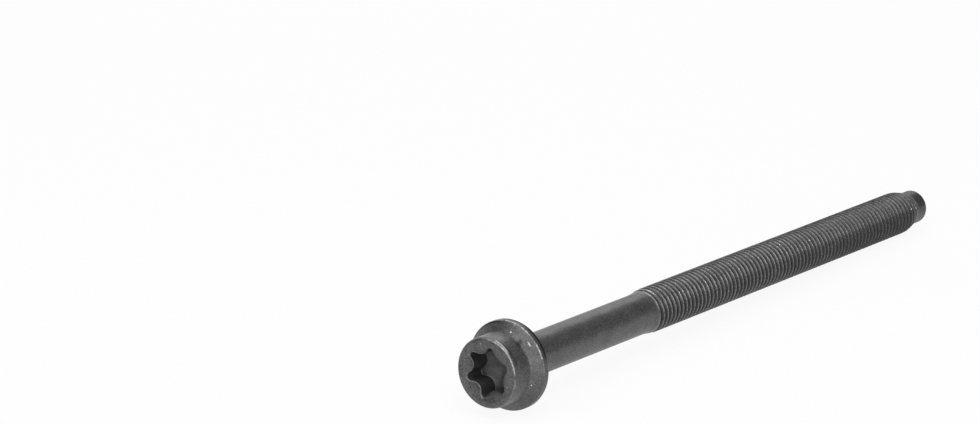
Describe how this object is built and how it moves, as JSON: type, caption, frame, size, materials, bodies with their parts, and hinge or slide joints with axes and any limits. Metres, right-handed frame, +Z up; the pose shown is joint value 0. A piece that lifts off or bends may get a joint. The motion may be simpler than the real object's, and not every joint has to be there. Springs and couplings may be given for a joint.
{
  "type": "cylinder head bolt",
  "caption": "Long flanged engine cylinder head bolt: round head with a six-lobe recess, waisted shank, long fine-turned thread and a plain dog point.",
  "frame": {"origin": "on the surface that the bolt lies on, under the middle of its box", "axes": "+Z up; +X from the head towards the tip; the bolt's own axis falls 1.82 degrees towards the tip, because it lies on its flange and its thread"},
  "size_m": [0.2016, 0.0234, 0.0235],
  "materials": {
    "phosphated_steel": "matt dark grey phosphate coating on steel, a little worn on the edges"
  },
  "bodies": {
    "root": {"head_bolt": "phosphated_steel"}
  },
  "joints": []
}
